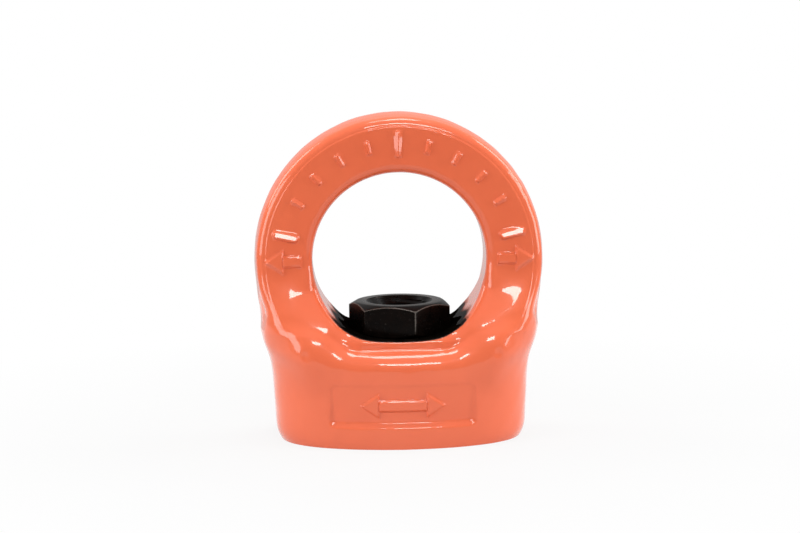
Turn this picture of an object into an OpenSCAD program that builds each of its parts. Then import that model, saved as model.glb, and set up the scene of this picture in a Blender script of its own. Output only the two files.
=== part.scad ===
// Swivelling lifting eye nut: a drop-forged eye on an oval base, standing on a threaded
// nut that turns freely in the base and is kept there by a ring in a groove.
// X runs across the eye, Y through it, Z up. The origin is the middle of the base's underside.

/* [Eye] */
// Outside diameter of the ring
ring_d = 76.5; // [72:0.5:82]
// Diameter of the eye
eye_d = 45.8; // [42:0.2:48]
// Height of the eye's centre above the underside
eye_h = 48.4; // [47:0.2:52]
// Thickness of the ring from face to face
ring_t = 18; // [15:0.5:21]
// Rounding of the ring's outer edges
edge_r = 2.6; // [2:0.1:4]
// Rounding of the eye's rim
rim_r = 2.7; // [1.5:0.1:3.2]
// Rounding of the eye's rim at its lowest place
rim_low_r = 1.4; // [1:0.1:2]
// How far each face of the ring swells out below the eye, where it runs into the base
swell = 7.4; // [6:0.1:8]
// Angle from straight below the eye's centre up to which the swelling is full
swell_low = 40; // [35:1:50]
// Angle at which the swelling has died away
swell_high = 84; // [75:1:90]
// Angle of the forging draft on the ring's outside
draft = 3; // [1:0.5:6]
// Height of the eye's floor above the underside
floor_h = 28.1; // [27.6:0.1:29]
// Size of the blend between the floor and the eye's wall
floor_blend = 4; // [2:0.5:6]

/* [Base] */
// Width of the base at the foot
foot_w = 66.1; // [60:0.1:68]
// Width of the base where it is widest
belly_w = 68.6; // [66:0.1:72]
// Height of the widest place
belly_h = 22.5; // [18:0.5:26]
// Depth of the base from front to back
base_d = 41.2; // [38:0.2:46]
// Squareness of the base's oval plan, 2 for an ellipse
plan_power = 2.27; // [2:0.01:3]
// Radius of the hollow where the base runs into the ring
waist_r = 35; // [20:1:50]
// Size of the rounding at the two ends of the foot
foot_r = 3.3; // [2:0.1:5]
// Height at which the shoulder starts, in the middle of the front
shoulder_h = 21; // [18:0.5:22]
// Radius of the shoulder's curve
shoulder_r = 5; // [3:0.5:6]
// Angle through which the shoulder bends back before it runs on as a slope
shoulder_tip = 71; // [65:1:75]
// How much higher the shoulder starts beside the eye
shoulder_lift = 2.5; // [0:0.5:4]
// Size of the blend between the shoulder and the ring's face, in the middle
shoulder_blend = 2.6; // [1:0.1:5]
// Size of that blend at the sides
side_blend = 9; // [6:0.5:12]

/* [Panel and marks] */
// Width of the sunk panel on the front
panel_w = 38; // [30:1:42]
// Height of the sunk panel
panel_h = 11; // [8:0.5:12]
// Height of the panel's lower edge above the underside
panel_z = 6; // [4:0.5:7]
// Depth of the sunk panel
panel_cut = 0.7; // [0.4:0.1:1]
// Radius of the panel's corners
panel_r = 1.6; // [1:0.1:3]
// Height of the raised marks above the face that carries them
mark_h = 0.5; // [0.3:0.1:0.8]
// Width of the raised bars
bar_w = 1.8; // [1:0.1:2.4]
// Length of the raised bars
bar_l = 7; // [5:0.2:8]
// Length of an arrow on the ring
arrow_l = 9.4; // [7:0.2:10]
// Width of an arrow's head
arrow_head_w = 6.2; // [4:0.2:8]
// Width of an arrow's shaft
arrow_shaft_w = 2.7; // [1.5:0.1:3.5]
// Width of the double arrow in the panel
swivel_w = 22; // [16:1:28]

/* [Nut] */
// Width across the flats
nut_af = 24; // [23:0.1:25]
// Height of the nut's top above the underside
nut_top = 36.5; // [34:0.5:38]
// Minor radius of the thread
thread_minor_r = 6.92; // [6:0.02:7]
// Radius of the countersinks at both ends of the thread
sink_r = 8.9; // [8.2:0.1:9.2]
// Radius of the shank that turns in the base
shank_r = 10.5; // [10:0.1:11]
// Radius of the flat ring on the nut's top, where the chamfer starts
crown_r = 11.4; // [11:0.1:11.8]
// Angle of the nut's chamfers
crown_angle = 30; // [20:1:35]
// Radius of the washer face under the hexagon
washer_r = 11.2; // [11:0.1:11.5]
// Height of the washer face
washer_h = 0.4; // [0.2:0.1:0.6]
// Turn of the hexagon as it stands
nut_turn = -14; // [-30:1:30]

/* [Seat and retaining ring] */
// Radius of the round seat that the nut stands in
seat_r = 14.6; // [14.5:0.1:14.9]
// Depth of the seat below the eye's floor
seat_cut = 1.2; // [0.8:0.1:1.6]
// Radial running clearance between the shank and the base
run_clear = 0.08; // [0.05:0.01:0.1]
// Play of the nut along its axis
axial_play = 0.3; // [0.2:0.1:0.6]
// Radius of the counterbore under the base
counterbore_r = 13.4; // [13:0.1:14.5]
// Depth of the counterbore
counterbore_h = 5; // [4.6:0.2:6]
// Thickness of the retaining ring
clip_t = 1.2; // [1:0.1:1.4]
// Depth of the groove in the shank
groove_cut = 0.8; // [0.5:0.1:1]
// How far the retaining ring stands out of its groove
clip_stand = 1.7; // [1.2:0.1:2]
// Angle of the gap in the retaining ring
clip_gap = 24; // [10:1:40]
// Clearance between the retaining ring and its groove
clip_clear = 0.05; // [0.02:0.01:0.1]

/* [Hidden] */

ring_r = ring_d / 2;
eye_r = eye_d / 2;
face_y = ring_t / 2;
front_y = base_d / 2;
belly_half = belly_w / 2;
foot_half = foot_w / 2;
seat_z = floor_h - seat_cut;
hex_z = seat_z + axial_play;
corner_r = nut_af / 2 / cos(30);
bore_r = shank_r + run_clear;
clip_z = counterbore_h - axial_play - clip_t - clip_clear;
overrun = 1;
smooth = 96;
sliver = 0.001;

// The side of the base leans outwards from the foot to the belly
side_slope = (belly_half - foot_half) / belly_h;
side_len = norm([1, side_slope]);
side_x = 1 / side_len;
side_z = -side_slope / side_len;
// Centre of the waist's arc, which touches the side and the ring
waist_c = foot_half * side_x + waist_r;
waist_d = waist_c - side_z * eye_h;
waist_o = sqrt(pow(ring_r + waist_r, 2) - pow(waist_d, 2));
waist_x = waist_d * side_x + waist_o * side_z;
waist_z = eye_h + waist_d * side_z - waist_o * side_x;
has_waist = waist_d < ring_r + waist_r;
// The shoulder's arc ends this high above its start, and this far behind the front
shoulder_up = shoulder_r * sin(shoulder_tip);
shoulder_in = shoulder_r * (1 - cos(shoulder_tip));
// A ring narrower than its base has no waist: a flat runs from the side's top and touches it
side_top = shoulder_h + shoulder_up + (front_y - face_y - shoulder_in) / tan(shoulder_tip);
side_top_x = foot_half + side_slope * side_top;
flat_turn = atan2(side_top - eye_h, side_top_x) + acos(ring_r / norm([side_top_x, side_top - eye_h]));
foot_reach = 1.6;
foot_bite = 0.35;
waist_fade = 0.5;
// The side blend takes over between these shares of the ring's radius
side_shares = [0.31, 0.7];

function clamp(v) = min(max(v, 0), 1);

// Smooth step from 0 at low to 1 at high
function ease(v, low, high) = let (t = clamp((v - low) / (high - low))) t * t * (3 - 2 * t);

// Smooth maximum: the larger of a and b, rounded over a width of k
function smax(a, b, k) =
    let (h = clamp(0.5 + 0.5 * (a - b) / k)) b + (a - b) * h + k * h * (1 - h);

// Union of two solids' outsides with a rounded edge of radius r
function round_edge(a, b, r) =
    min(max(a + r, b + r), 0) + norm([max(a + r, 0), max(b + r, 0)]) - r;

// Distance outside the outline seen from the front: side line, waist arc or ring circle
function side_line(x, z) =
    side_x * x + side_z * z - foot_half * side_x
    + foot_r * foot_bite * pow(min(max(1 - z / (foot_reach * foot_r), 0), 2), 3);
function circle_line(x, z) = norm([x, z - eye_h]) - ring_r;
function waisted(x, z) =
    let (dx = x - waist_x)
    x > waist_x || z > waist_z + dx * (eye_h - waist_z) / -waist_x
        ? circle_line(x, z)
        : z < waist_z + dx * side_z / side_x
            ? side_line(x, z)
            : waist_r - norm([dx, z - waist_z]);
function flanked(x, z) =
    atan2(z - eye_h, x) > flat_turn
        ? circle_line(x, z)
        : max(side_line(x, z), x * cos(flat_turn) + (z - eye_h) * sin(flat_turn) - ring_r);
function outline(x, z) = has_waist ? waisted(x, z) : flanked(x, z);

// Half depth of the base at x across and z up: its shoulder is an arc and then a slope
function base_depth(x, z) =
    let (start = shoulder_h + shoulder_lift * pow(x / (ring_r - 2 * edge_r - rim_r), 2))
    let (up = max(z - start, 0), arc = min(up, shoulder_up))
    let (back = shoulder_r - sqrt(pow(shoulder_r, 2) - pow(arc, 2)) + (up - arc) * tan(shoulder_tip))
    max(front_y - back, face_y / 2);

// Share of the swelling that is gone at an angle round the eye, 0 straight below its centre
function slimmed(x, z) = ease(atan2(x, eye_h - z), swell_low, swell_high);

// Distance outside the ring as a disc with round edges, which swells towards the base
function disc(x, y, z) =
    let (face = face_y + swell * (1 - slimmed(x, z)))
    round_edge(norm([x, z - eye_h]) - ring_r + y * tan(draft), y - face, edge_r);

// Distance outside the base: its plan is an oval as wide as the outline at that height, and
// it fades out inside the ring above the waist
function foot(x, y, z) =
    let (deep = base_depth(x, z))
    let (n = plan_power)
    let (a = max(1 + (outline(x, z) + y * tan(draft)) / belly_half, sliver))
    let (b = max(y / deep, sliver))
    let (e = pow(pow(a, n) + pow(b, n), 1 / n))
    (e - 1) * pow(e, n - 1) / norm([pow(a, n - 1) / belly_half, pow(b, n - 1) / deep])
    + waist_fade * max(z - floor_h - shoulder_blend, 0);

// Distance outside the forging without its eye: ring and base run together in a hollow
function blank(x, y, z) =
    let (beside = ease(x, side_shares[0] * ring_r, side_shares[1] * ring_r))
    -smax(-disc(x, y, z), -foot(x, y, z), shoulder_blend + (side_blend - shoulder_blend) * beside);

// Distance inside the eye's wall: a circle with a flat floor, run together in a blend
function eye_wall(r, z) = smax(r - eye_r, floor_h - z, floor_blend);

// Distance outside the finished forging, by symmetry for x and y not below zero
function forging_at(x, y, z) =
    let (eye = -eye_wall(norm([x, z - eye_h]), z))
    let (rim = rim_low_r + (rim_r - rim_low_r) * slimmed(x, z))
    max(round_edge(blank(x, y, z), eye, rim), -spare_z - z);

// Rays run from a core line inside the metal: the middle of the ring's section, sinking to
// the middle of the base under the eye
spare_z = floor_h / 5;
core_ring = (ring_r + eye_r) / 2;
core_base = eye_h - floor_h / 2;
function core(c) =
    let (t = clamp((c - 0.2) / 0.7)) core_ring + (core_base - core_ring) * t * t * (3 - 2 * t);
function on_ray(th, ph, t) =
    let (r = core(cos(th)) + t * cos(ph)) [r * sin(th), t * sin(ph), eye_h - r * cos(th)];
function outside(p) = forging_at(abs(p.x), abs(p.y), p.z) > 0;
function solve(th, ph, lo, hi, steps) =
    let (mid = (lo + hi) / 2)
    steps == 0 ? on_ray(th, ph, mid)
        : outside(on_ray(th, ph, mid)) ? solve(th, ph, lo, mid, steps - 1)
        : solve(th, ph, mid, hi, steps - 1);
function reach(th, ph) =
    cos(ph) < 0 ? min(eye_h + ring_r, core(cos(th)) / -cos(ph)) : eye_h + ring_r;

around = 104;
across = 44;
halvings = 18;
crowding = 22;
function turn(i) = let (a = 360 * i / around) a - crowding * sin(a);

// Half depth of the blank at a distance r from the eye's centre, in the direction th
function depth_at(th, r, lo, hi, steps) =
    let (mid = (lo + hi) / 2)
    steps == 0 ? mid
        : blank(abs(r * sin(th)), mid, eye_h - r * cos(th)) > 0 ? depth_at(th, r, lo, mid, steps - 1)
        : depth_at(th, r, mid, hi, steps - 1);

// How far the eye reaches from its centre in the direction th
function eye_reach(th, lo, hi, steps) =
    let (mid = (lo + hi) / 2)
    steps == 0 ? mid
        : eye_wall(mid, eye_h - mid * cos(th)) > 0 ? eye_reach(th, lo, mid, steps - 1)
        : eye_reach(th, mid, hi, steps - 1);

// Rays of a section: in every row the same ones run to its outer edge and to the eye's rim
rim_share = 0.73;
rim_crowding = 0.45;
lean = 0.3;
function crowded(t) = t - rim_crowding * sin(360 * t) / (2 * PI);
function leaning(t) = t + lean * sin(180 * t) / PI;
function edge_angle(th) =
    atan2(depth_at(th, ring_r - edge_r, 0, front_y, halvings), ring_r - core(cos(th)));
function rim_angle(th) =
    let (r = eye_reach(th, 0, eye_r, halvings))
    atan2(depth_at(th, r, 0, front_y, halvings), r - core(cos(th)));
function half_tilt(t, edge, rim) =
    let (edge_share = rim_share * edge / rim)
    t < edge_share ? edge * leaning(t / edge_share)
        : t < rim_share ? edge + (rim - edge) * crowded((t - edge_share) / (rim_share - edge_share))
        : 180 - (180 - rim) * leaning((1 - t) / (1 - rim_share));
function tilt(j, edge, rim) =
    let (t = 2 * (j + 0.5) / across) t < 1 ? half_tilt(t, edge, rim) : 360 - half_tilt(2 - t, edge, rim);

// The forging as one skin: rows round the eye, each row a loop round the section
module forging() {
    skin = [
        for (i = [0 : around - 1])
            let (th = turn(i), edge = edge_angle(th), rim = rim_angle(th))
            for (j = [0 : across - 1])
                let (ph = tilt(j, edge, rim)) solve(th, ph, 0, reach(th, ph), halvings)
    ];
    function at(i, j) = (i % around) * across + j % across;
    // Each cell is cut along the diagonal that keeps the skin alike on both sides
    faces = [
        for (i = [0 : around - 1], j = [0 : across - 1])
            let (a = at(i, j), b = at(i + 1, j), c = at(i + 1, j + 1), d = at(i, j + 1))
            each (i < around / 2) != (j < across / 2) ? [[a, b, c], [a, c, d]] : [[a, b, d], [b, c, d]]
    ];
    polyhedron(points = skin, faces = faces, convexity = 8);
}

// Half of the oval plan's curve at a given half depth, as a closed outline
function oval(half_w, half_d) = [
    for (k = [0 : smooth - 1])
        let (a = 360 * k / smooth, c = cos(a), s = sin(a))
        [half_w * sign(c) * pow(abs(c), 2 / plan_power), half_d * sign(s) * pow(abs(s), 2 / plan_power)]
];

// Rectangle with round corners, its lower edge on the X axis
function round_rect(w, h, r) = [
    for (q = [0 : 3], k = [0 : 6])
        let (sx = q == 0 || q == 3 ? 1 : -1, sy = q < 2 ? 1 : -1, a = 90 * q + 15 * k)
        [sx * (w / 2 - r) + r * cos(a), h / 2 + sy * (h / 2 - r) + r * sin(a)]
];

// Arrow along X with its tip at the right, centred on the origin
function arrow(len, head_w, shaft_w) =
    let (neck = len / 2 - head_w * 0.75)
    [[len / 2, 0], [neck, head_w / 2], [neck, shaft_w / 2], [-len / 2, shaft_w / 2],
     [-len / 2, -shaft_w / 2], [neck, -shaft_w / 2], [neck, -head_w / 2]];

// Arrow along X with a tip at both ends
function double_arrow(len, head_w, shaft_w) =
    let (half = arrow(len, head_w, shaft_w))
    let (right = [half[2], half[1], half[0], half[6], half[5]])
    concat(right, [for (p = right) -p]);

// A flat shape drawn in X and Z, standing out of the plane y = -from by h
module upright(from, h) {
    translate([0, -from, 0]) rotate([90, 0, 0]) linear_extrude(h) children();
}

// Raised marks on the front of the ring: arrows and bars for the load, ticks between them
module ring_marks() {
    mark_r = (ring_r - edge_r + eye_r + rim_r) / 2;
    bar_angle = 13;
    tick_step = 15;
    upright(face_y - mark_h, 2 * mark_h) translate([0, eye_h]) {
        for (side = [0, 180]) rotate(side) translate([mark_r, 0])
            polygon(arrow(arrow_l, arrow_head_w, arrow_shaft_w));
        for (a = [bar_angle, 180 - bar_angle]) rotate(a) translate([mark_r, 0])
            square([bar_l, bar_w], center = true);
        for (a = [2 * tick_step : tick_step : 180 - 2 * tick_step]) rotate(a) translate([mark_r, 0])
            square([a == 90 ? bar_l : bar_l / 2, bar_w / 2], center = true);
    }
}

// Sunk panel, which leaves a floor parallel to the curved front
module panel() {
    difference() {
        translate([0, 0, panel_z]) upright(front_y / 2, front_y)
            polygon(round_rect(panel_w, panel_h, panel_r));
        linear_extrude(eye_h) polygon(oval(belly_half, front_y - panel_cut));
    }
}

// Double arrow that stands on the panel's floor and follows its curve
module swivel_mark() {
    intersection() {
        translate([0, 0, panel_z + panel_h / 2]) upright(front_y / 2, front_y)
            polygon(double_arrow(swivel_w, arrow_head_w, arrow_shaft_w));
        linear_extrude(eye_h) polygon(oval(belly_half, front_y - panel_cut + mark_h));
    }
}

// Forged eye and base, machined: flat underside, seat, bore and counterbore
module eye_body() {
    color("tomato") difference() {
        union() {
            difference() {
                forging();
                panel();
            }
            ring_marks();
            swivel_mark();
        }
        translate([0, 0, -ring_d / 2]) cube([2 * ring_d, 2 * ring_d, ring_d], center = true);
        translate([0, 0, seat_z]) cylinder(h = eye_h - seat_z, r = seat_r, $fn = smooth);
        translate([0, 0, -overrun]) cylinder(h = eye_h, r = bore_r, $fn = smooth);
        translate([0, 0, -overrun])
            cylinder(h = counterbore_h + overrun, r = counterbore_r, $fn = smooth);
    }
}

// Profile that chamfers the hexagon at the top
module crown_profile() {
    out_r = corner_r + overrun;
    drop = (out_r - crown_r) * tan(crown_angle);
    polygon([[0, hex_z + washer_h], [washer_r, hex_z + washer_h], [out_r, hex_z + washer_h + drop],
        [out_r, nut_top - drop], [crown_r, nut_top], [0, nut_top]]);
}

// Nut: hexagon, washer face and shank, with the thread's bore and a groove near the foot
module hex_nut() {
    color("dimgray") difference() {
        union() {
            intersection() {
                rotate(nut_turn) cylinder(h = nut_top, r = corner_r, $fn = 6);
                rotate_extrude($fn = smooth) crown_profile();
            }
            translate([0, 0, hex_z]) cylinder(h = 2 * washer_h, r = washer_r, $fn = smooth);
            cylinder(h = hex_z + washer_h, r = shank_r, $fn = smooth);
        }
        translate([0, 0, -overrun]) cylinder(h = nut_top + 2 * overrun, r = thread_minor_r, $fn = smooth);
        rotate_extrude($fn = smooth) sink_profile(0, -1);
        rotate_extrude($fn = smooth) sink_profile(nut_top, 1);
        translate([0, 0, clip_z - clip_clear]) difference() {
            cylinder(h = clip_t + 2 * clip_clear, r = shank_r + overrun, $fn = smooth);
            translate([0, 0, -overrun])
                cylinder(h = clip_t + 2 * overrun, r = shank_r - groove_cut, $fn = smooth);
        }
    }
}

// Countersink at the height z; up is 1 at the top and -1 at the foot
module sink_profile(z, up) {
    depth = sink_r - thread_minor_r;
    polygon([[0, z + up * overrun], [sink_r, z + up * overrun], [sink_r, z],
        [thread_minor_r, z - up * depth], [0, z - up * depth]]);
}

// Open ring that snaps into the groove and keeps the nut in the base
module retaining_ring() {
    color("silver") translate([0, 0, clip_z]) rotate(90 + clip_gap / 2)
        rotate_extrude(angle = 360 - clip_gap, $fn = smooth)
            translate([shank_r - groove_cut + clip_clear, 0])
                square([groove_cut - clip_clear + clip_stand, clip_t]);
}

eye_body();
hex_nut();
retaining_ring();
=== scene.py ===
"""Lifting eye nut: a glossy orange forging that turns on a blackened hexagon nut, on a pale floor."""
import logging
import math
from dataclasses import dataclass
from enum import Enum
from typing import Any, Callable

import bmesh
import bpy
import numpy as np
from mathutils import Matrix, Vector


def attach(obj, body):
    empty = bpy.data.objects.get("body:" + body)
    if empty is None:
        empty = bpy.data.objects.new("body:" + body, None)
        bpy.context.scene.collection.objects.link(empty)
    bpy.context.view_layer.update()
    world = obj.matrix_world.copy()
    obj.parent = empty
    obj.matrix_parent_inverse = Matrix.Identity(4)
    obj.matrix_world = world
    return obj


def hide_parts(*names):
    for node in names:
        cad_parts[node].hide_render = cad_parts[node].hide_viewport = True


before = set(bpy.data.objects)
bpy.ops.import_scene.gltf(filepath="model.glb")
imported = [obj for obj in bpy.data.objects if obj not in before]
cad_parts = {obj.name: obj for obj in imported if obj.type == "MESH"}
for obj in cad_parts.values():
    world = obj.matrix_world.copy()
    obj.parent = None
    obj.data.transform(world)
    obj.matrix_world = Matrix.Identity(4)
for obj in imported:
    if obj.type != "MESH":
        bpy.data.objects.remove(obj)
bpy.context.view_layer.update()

LOG = logging.getLogger("lifting_eye_nut")
MM = 0.001
TINY = 1e-3

Array = np.ndarray
Colour = tuple[float, float, float]


def clamp01(value: Array) -> Array:
    """Values held between 0 and 1."""
    return np.clip(value, 0.0, 1.0)


def ease(value: Array, low: float, high: float) -> Array:
    """Smooth step: 0 below low, 1 above high, and 3t^2 - 2t^3 between them."""
    t = clamp01((value - low) / (high - low))
    return t * t * (3 - 2 * t)


def smooth_max(a: Array, b: Array, width: Array | float) -> Array:
    """Larger of a and b, with a parabola of the given width where they are nearly equal."""
    h = clamp01(0.5 + 0.5 * (a - b) / width)
    return b + (a - b) * h + width * h * (1 - h)


def round_edge(a: Array, b: Array, radius: Array | float, power: float = 2.0) -> Array:
    """Distance outside the overlap of two solids whose common edge is rounded.

    Within the radius of both faces the distance is the power norm of the two overruns, which is
    a circular arc for a power of 2 and a flatter land with softer ends below it.

    Args:
        a: Distance outside the first solid.
        b: Distance outside the second solid.
        radius: Size of the rounded edge.
        power: Power of the norm.

    Returns:
        The distance outside the overlap.
    """
    over_a = np.maximum(a + radius, 0.0)
    over_b = np.maximum(b + radius, 0.0)
    corner = (over_a ** power + over_b ** power) ** (1.0 / power)
    return np.minimum(np.maximum(a + radius, b + radius), 0.0) + corner - radius


class Wire:
    """A shader socket on which arithmetic adds Math nodes."""

    def __init__(self, shader: "Shader", socket: bpy.types.NodeSocket) -> None:
        """Wraps an output socket of the shader's tree."""
        self.shader = shader
        self.socket = socket

    def _math(self, operation: str, *values: Any, clamp: bool = False) -> "Wire":
        """Adds a Math node with these values and returns its output."""
        node = self.shader.node(
            "ShaderNodeMath", {"operation": operation, "use_clamp": clamp}, dict(enumerate(values)))
        return Wire(self.shader, node.outputs[0])

    def __add__(self, other: Any) -> "Wire":
        """Sum."""
        return self._math("ADD", self, other)

    __radd__ = __add__

    def __sub__(self, other: Any) -> "Wire":
        """Difference."""
        return self._math("SUBTRACT", self, other)

    def __rsub__(self, other: Any) -> "Wire":
        """Difference with the socket on the right."""
        return self._math("SUBTRACT", other, self)

    def __mul__(self, other: Any) -> "Wire":
        """Product."""
        return self._math("MULTIPLY", self, other)

    __rmul__ = __mul__

    def clamped(self) -> "Wire":
        """The value held between 0 and 1."""
        return self._math("ADD", self, 0.0, clamp=True)

    def above(self, low: float, high: float) -> "Wire":
        """Straight ramp from 0 at low to 1 at high, held at both ends."""
        node = self.shader.node(
            "ShaderNodeMapRange", {"clamp": True},
            {"Value": self, "From Min": low, "From Max": high, "To Min": 0.0, "To Max": 1.0})
        return Wire(self.shader, node.outputs["Result"])


class Shader:
    """A material's node tree around one Principled shader."""

    def __init__(self, name: str, **uniform: Any) -> None:
        """Starts a material.

        Args:
            name: Name of the material.
            uniform: Values set on the shader's own sockets, with _ for a space in their names.
        """
        self.material = bpy.data.materials.new(name)
        self.material.use_nodes = True
        self.tree = self.material.node_tree
        self.tree.nodes.clear()
        self.output = self.tree.nodes.new("ShaderNodeOutputMaterial")
        self.principled = self.tree.nodes.new("ShaderNodeBsdfPrincipled")
        self.tree.links.new(self.principled.outputs[0], self.output.inputs["Surface"])
        for socket, value in uniform.items():
            self.set(socket.replace("_", " "), value)

    def node(self, kind: str, settings: dict[str, Any] | None = None,
             inputs: dict[Any, Any] | None = None) -> bpy.types.Node:
        """Adds a node.

        Args:
            kind: The node's type.
            settings: The node's own settings, which are set first.
            inputs: Values or wires for its sockets, by name or number.

        Returns:
            The new node.
        """
        node = self.tree.nodes.new(kind)
        for key, value in (settings or {}).items():
            setattr(node, key, value)
        for key, value in (inputs or {}).items():
            if isinstance(value, Wire):
                self.tree.links.new(value.socket, node.inputs[key])
            else:
                node.inputs[key].default_value = value
        return node

    def set(self, socket: str, value: Any) -> None:
        """Sets or links a socket of the Principled shader."""
        if isinstance(value, Wire):
            self.tree.links.new(value.socket, self.principled.inputs[socket])
            return
        self.principled.inputs[socket].default_value = (*value, 1.0) if isinstance(value, tuple) else value

    def place(self) -> Wire:
        """Object coordinates, in metres."""
        return Wire(self, self.node("ShaderNodeTexCoord").outputs["Object"])

    def attribute(self, name: str) -> Wire:
        """A value stored on the mesh's points."""
        return Wire(self, self.node("ShaderNodeAttribute", {"attribute_name": name}).outputs["Fac"])

    def noise(self, cell: float, detail: float = 3.0, stretch: Colour = (1.0, 1.0, 1.0),
              roughness: float = 0.5) -> Wire:
        """Noise over the object.

        Args:
            cell: Size of a blob, in millimetres.
            detail: Octaves.
            stretch: Factors on the three axes before the noise.
            roughness: Strength of the finer octaves.

        Returns:
            The noise's value, around one half.
        """
        mapping = self.node("ShaderNodeMapping", None, {"Vector": self.place(), "Scale": stretch})
        node = self.node("ShaderNodeTexNoise", None, {
            "Vector": Wire(self, mapping.outputs[0]), "Scale": 1.0 / (cell * MM),
            "Detail": detail, "Roughness": roughness})
        return Wire(self, node.outputs["Fac"])

    def mix(self, factor: Any, low: Any, high: Any) -> Wire:
        """Colour between low and high, as a Mix node."""
        node = self.node("ShaderNodeMix", {"data_type": "RGBA"}, {0: factor})
        for index, value in ((6, low), (7, high)):
            if isinstance(value, Wire):
                self.tree.links.new(value.socket, node.inputs[index])
            else:
                node.inputs[index].default_value = (*value, 1.0)
        return Wire(self, node.outputs[2])

    def radius(self) -> Wire:
        """Distance from the thread's axis, in metres."""
        flat = self.node("ShaderNodeVectorMath", {"operation": "MULTIPLY"},
                         {0: self.place(), 1: (1.0, 1.0, 0.0)})
        length = self.node("ShaderNodeVectorMath", {"operation": "LENGTH"},
                           {0: Wire(self, flat.outputs[0])})
        return Wire(self, length.outputs["Value"])

    def bump(self, height: Wire, depth: float) -> None:
        """Feeds the shader's Normal from a height.

        Args:
            height: The height, from 0 to 1.
            depth: What a height of 1 stands for, in millimetres.
        """
        node = self.node("ShaderNodeBump", None, {"Height": height, "Strength": 1.0, "Distance": depth * MM})
        self.set("Normal", Wire(self, node.outputs[0]))


@dataclass(frozen=True)
class OrangePaint:
    """Glossy powder coat, which thins out to blackened steel on the eye's floor."""

    colour: Colour = (0.79, 0.150, 0.062)
    thin_colour: Colour = (0.75, 0.130, 0.052)
    bare_colour: Colour = (0.0016, 0.0013, 0.0012)
    dust_colour: Colour = (0.30, 0.085, 0.050)
    roughness: float = 0.26
    coat_roughness: float = 0.05
    bare_roughness: float = 0.62
    peel: float = 0.04
    peel_cell: float = 1.5

    def material(self) -> bpy.types.Material:
        """Builds the material."""
        shader = Shader("orange_paint", IOR=1.5, Specular_IOR_Level=0.12, Coat_IOR=1.5,
                        Coat_Roughness=self.coat_roughness)
        grain = shader.noise(0.55, 3.0)
        streaks = shader.noise(1.6, 2.0, (1.0, 0.35, 1.0))
        bare = shader.attribute("bare")
        edge = (bare + (grain - 0.5) * 0.45 + (streaks - 0.5) * 0.25)
        solid = edge.above(0.40, 0.66)
        haze = edge.above(0.10, 0.52)
        broad = shader.noise(14.0, 2.0)
        painted = shader.mix(broad.above(0.35, 0.75) * 0.35, self.colour, self.thin_colour)
        dusty = shader.mix(haze, painted, self.dust_colour)
        sooty = shader.mix(grain.above(0.35, 0.8) * 0.4, self.bare_colour, (0.005, 0.003, 0.0025))
        shader.set("Base Color", shader.mix(solid, dusty, sooty))
        rough = self.roughness + (self.bare_roughness - self.roughness) * haze
        shader.set("Roughness", rough + (shader.noise(3.0, 2.0) - 0.5) * 0.05)
        dull = shader.attribute("outer") * 0.8
        shader.set("Coat Weight", (1.0 - haze) * (1.0 - dull) * 0.8)
        peel = shader.noise(self.peel_cell, 1.0)
        wave = shader.noise(4.5, 1.0)
        grit = shader.noise(0.25, 2.0) * haze
        shader.bump(peel * 0.22 + wave * 0.78 + grit * 0.8, self.peel)
        return shader.material


@dataclass(frozen=True)
class BlackOxide:
    """Blackened steel with brighter worn edges, fine scratches and specks; the mesh's edge attribute also carries a
    painted highlight on the nut's front corner and painted shade at its lower end.
    """

    colour: Colour = (0.0018, 0.0013, 0.0011)
    brown: Colour = (0.005, 0.0026, 0.0018)
    worn_and_glint_colour: Colour = (0.30, 0.262, 0.232)
    roughness: float = 0.30

    def material(self) -> bpy.types.Material:
        """Builds the material."""
        shader = Shader("black_oxide", IOR=1.5, Specular_IOR_Level=0.06)
        mottled = shader.noise(2.2, 4.0, roughness=0.6)
        fine = shader.noise(0.35, 2.0)
        scratch = shader.noise(0.5, 1.0, (0.12, 0.12, 1.4)).above(0.71, 0.76)
        speck = shader.noise(0.32, 0.0).above(0.76, 0.80)
        # The edge attribute holds worn edges, a painted highlight on the nut's front corner, and painted shade where
        # the lighter edges fade out low on the nut.
        edge = (shader.attribute("edge") + (fine - 0.55) * 0.7).above(0.35, 0.95)
        body = shader.mix(mottled.above(0.3, 0.7), self.colour, self.brown)
        wear_and_painted_light = (edge * 0.40 + scratch * 0.09 + speck * 0.05).clamped()
        shader.set("Base Color", shader.mix(wear_and_painted_light, body, self.worn_and_glint_colour))
        shader.set("Metallic", wear_and_painted_light * 0.7)
        shader.set("Roughness", self.roughness + (mottled - 0.5) * 0.22 + (fine - 0.5) * 0.08)
        shader.bump(fine * 0.5 + mottled * 0.5, 0.02)
        return shader.material


@dataclass(frozen=True)
class TurnedSteel:
    """Steel turned on a lathe: fine rings round the thread's axis."""

    name: str
    colour: Colour
    stain: Colour
    roughness: float
    metallic: float
    groove: float = 0.16

    def material(self) -> bpy.types.Material:
        """Builds the material; the rings are a sine of the distance from the axis."""
        shader = Shader(self.name, IOR=1.5, Specular_IOR_Level=0.0)
        stain = shader.noise(3.0, 4.0)
        phase = shader.radius() * (2 * math.pi / (self.groove * MM)) + stain * 1.2
        node = shader.node("ShaderNodeMath", {"operation": "SINE"}, {0: phase})
        rings = Wire(shader, node.outputs[0]) * 0.5 + 0.5
        shader.set("Base Color", shader.mix(stain.above(0.42, 0.7), self.colour, self.stain))
        shader.set("Metallic", self.metallic)
        shader.set("Roughness", self.roughness + (stain - 0.5) * 0.2)
        shader.bump(rings * 0.6 + shader.noise(0.4, 2.0) * 0.4, 0.006)
        return shader.material


class MarkKind(Enum):
    """Shapes of the raised marks."""

    BAR = "bar"
    ARROW = "arrow"
    DOUBLE_ARROW = "double_arrow"


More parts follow.
